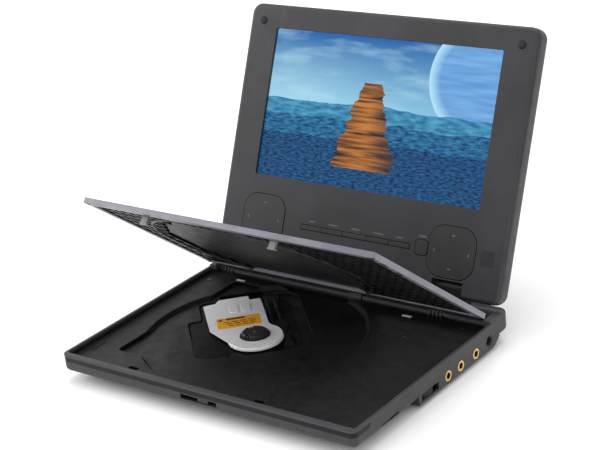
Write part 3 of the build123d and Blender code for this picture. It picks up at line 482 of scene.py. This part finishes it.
def makePicture():
    tree = Tree("screen_picture")
    uv = tree.nodes.new("ShaderNodeUVMap")
    uv.uv_map = "across"
    parts = tree.nodes.new("ShaderNodeSeparateXYZ")
    tree.join(uv.outputs[0], parts.inputs[0])
    across, up, place = parts.outputs[0], parts.outputs[1], uv.outputs[0]
    scenery = drawSky(tree, across, up, place)
    scenery = drawMoon(tree, across, up, place, scenery)
    for ridge in ridges:
        scenery = drawRidge(tree, up, place, scenery, **ridge)
    scenery = drawRock(tree, across, up, place, scenery)
    lit = tree.maths("MULTIPLY", withinPicture(tree, across), withinPicture(tree, up))
    scenery = tree.blend(lit, picture["surround"], scenery)
    tree.shader.inputs["Base Color"].default_value = (*picture["glass"], 1)
    tree.join(scenery, tree.shader.inputs["Emission Color"])
    tree.shader.inputs["Emission Strength"].default_value = picture["glow"]
    tree.join(tree.spread(tree.noise(120.0, 4.0), 0.05, 0.12), tree.shader.inputs["Roughness"])
    tree.join(tree.relief(tree.noise(60.0, 2.0), 2e-6), tree.shader.inputs["Normal"])
    tree.shader.inputs["Specular IOR Level"].default_value = picture["shine"]
    return tree.material


mesh = bmesh.new()
front = picture["front"]
plate(mesh, 0, picture["middle"], picture["width"] + 2 * picture["margin"],
      picture["height"] + 2 * picture["marginUp"], front - picture["thick"], front - picture["behind"],
      picture["corner"])
layer = mesh.loops.layers.uv.new("across")
for face in mesh.faces:
    for loop in face.loops:
        spot = loop.vert.co
        loop[layer].uv = (spot.x / picture["width"] + 0.5,
                          (spot.y - picture["middle"]) / picture["height"] + 0.5)
pane = finishPiece(mesh, "screenPane", screenToRow, "screen", "display_face", makePicture())
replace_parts(pane, "lcd_glass")
print("screen made")


# Printed marks on the keys and bezel: upright beside the middle of a pad, flat above and below it.
marks = dict(padX=dict(left=-67.1, right=64.95), padUp=24.55, reach=(11.2, 9.4), short=0.9, long=1.9,
             low=0.2, proud=0.29, corner=0.2)
bars = dict(middles=(-31.5, -16.5, -0.5, 15.5, 30.2), lengths=(4.216, 6.2, 5.704, 6.944, 4.464), up=27.6,
            squareX=45.2, squareUp=30.6, squareLength=5.4, thick=0.8, low=-0.1, top=0.04, corner=0.2)


def makePadMarks(x):
    mesh = bmesh.new()
    up, (reachX, reachUp) = marks["padUp"], marks["reach"]
    short, long = marks["short"], marks["long"]
    for dx, dy in ((reachX, 0), (-reachX, 0), (0, reachUp), (0, -reachUp)):
        wide, tall = (short, long) if dx else (long, short)
        plate(mesh, x + dx, up + dy, wide, tall, marks["low"], marks["proud"], marks["corner"], 3)
    return mesh


def addBar(mesh, x, up, length):
    plate(mesh, x, up, length, bars["thick"], bars["low"], bars["top"], bars["corner"], 2)


for side, x in marks["padX"].items():
    finishPiece(makePadMarks(x), "padMarks" + side.title(), screenToRow, "press_pad_" + side, "print_white")

mesh = bmesh.new()
for middle, length in zip(bars["middles"], bars["lengths"]):
    addBar(mesh, middle, bars["up"], length)
addBar(mesh, bars["squareX"], bars["squareUp"], bars["squareLength"])
finishPiece(mesh, "stripMarks", screenToRow, "screen", "print_white")
print("marks made")


# The guard's label, with a title bar, rows of plain bars for words and a triangle.
label = dict(x=20.2, y=7.0, width=13.7, length=25.0, low=-2.8, top=-2.7, corner=0.8)
title = dict(x=24.9, y=8.5, width=2.0, length=11.0, corner=0.3)
rows = dict(x=21.2, step=2.4, spans=((-2.5, 19.0), (-3.0, 18.0), (-2.0, 15.5)), words=4, middle=0.45,
            share=0.8, width=0.9, corner=0.2)
triangle = dict(x=24.6, y=17.2, radius=1.9, raised=0.01, thick=0.06)
ink = dict(sunk=0.02, proud=0.04)

mesh = bmesh.new()
plate(mesh, label["x"], label["y"], label["width"], label["length"], label["low"], label["top"],
      label["corner"])
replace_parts(finishPiece(mesh, "labelSheet", mechanismToRow, "case", "label_orange"), "guard_label")

mesh = bmesh.new()
low, high = label["top"] - ink["sunk"], label["top"] + ink["proud"]
plate(mesh, title["x"], title["y"], title["width"], title["length"], low, high, title["corner"], 2)
for row, (start, span) in enumerate(rows["spans"]):
    pitch = span / rows["words"]
    for word in range(rows["words"]):
        plate(mesh, rows["x"] - row * rows["step"], start + pitch * (word + rows["middle"]), rows["width"],
              pitch * rows["share"], low, high, rows["corner"], 2)
made = bmesh.ops.create_cone(mesh, cap_ends=True, segments=3, radius1=triangle["radius"],
                             radius2=triangle["radius"], depth=triangle["thick"])["verts"]
bmesh.ops.translate(mesh, vec=(triangle["x"], triangle["y"], label["top"] + triangle["raised"]), verts=made)
finishPiece(mesh, "labelMarks", mechanismToRow, "case", "print_dark")
print("label made")


room = dict(floorSize=14.0, floorColour=(0.93, 0.93, 0.935), floorShade=(0.9, 0.9, 0.9), floorRough=0.9,
            floorShine=0.1, skyColour=(1.0, 1.0, 1.0), skyPower=0.95)

mesh = bmesh.new()
bmesh.ops.create_grid(mesh, x_segments=1, y_segments=1, size=room["floorSize"])
data = bpy.data.meshes.new("floor")
mesh.to_mesh(data)
mesh.free()
floor = bpy.data.objects.new("floor", data)
bpy.context.scene.collection.objects.link(floor)
floorTree = Tree("floor_paper")
paper = floorTree.spread(floorTree.noise(3.0, 3.0), 0.98, 1.0)
floorTone = floorTree.blend(paper, room["floorShade"], room["floorColour"])
floorTree.join(floorTone, floorTree.shader.inputs["Base Color"])
floorTree.shader.inputs["Roughness"].default_value = room["floorRough"]
floorTree.shader.inputs["Specular IOR Level"].default_value = room["floorShine"]
data.materials.append(floorTree.material)

world = bpy.data.worlds.new("studio")
bpy.context.scene.world = world
world.use_nodes = True
world.node_tree.nodes["Background"].inputs["Color"].default_value = (*room["skyColour"], 1)
world.node_tree.nodes["Background"].inputs["Strength"].default_value = room["skyPower"]

# name, where it stands, what it faces, size and power
lamps = (
    ("overhead", (-0.15, 0.35, 1.5), (0, 0, 0.05), 1.1, 11.0),
    ("leftPanel", (-1.3, -0.5, 0.8), (0, 0, 0.05), 0.9, 9.0),
    ("frontPanel", (0.9, -1.4, 1.0), (0, 0, 0.05), 0.8, 4.0),
)
for name, place, aim, size, power in lamps:
    lamp = bpy.data.lights.new(name, "AREA")
    lamp.size = size
    lamp.energy = power
    holder = bpy.data.objects.new(name, lamp)
    bpy.context.scene.collection.objects.link(holder)
    holder.location = place
    holder.rotation_euler = (Vector(aim) - Vector(place)).to_track_quat("-Z", "Y").to_euler()

viewpoint = dict(place=(0.5400, -0.66769, 0.4151), azimuth=39.23, elevation=21.95, roll=-6.52,
                 lens=100.885, sensor=36.0)
azimuth, elevation = radians(viewpoint["azimuth"]), radians(viewpoint["elevation"])
roll = radians(viewpoint["roll"])
back = Vector((sin(azimuth) * cos(elevation), -cos(azimuth) * cos(elevation), sin(elevation)))
side = Vector((0, 0, 1)).cross(back).normalized()
upright = back.cross(side)
turned = (side * cos(roll) + upright * sin(roll), upright * cos(roll) - side * sin(roll), back)
lens = bpy.data.cameras.new("viewpoint")
lens.lens = viewpoint["lens"]
lens.sensor_width = viewpoint["sensor"]
camera = bpy.data.objects.new("viewpoint", lens)
bpy.context.scene.collection.objects.link(camera)
camera.matrix_world = Matrix.Translation(viewpoint["place"]) @ Matrix(turned).transposed().to_4x4()
bpy.context.scene.camera = camera
bpy.context.scene.view_settings.view_transform = "Standard"
print("stage set")
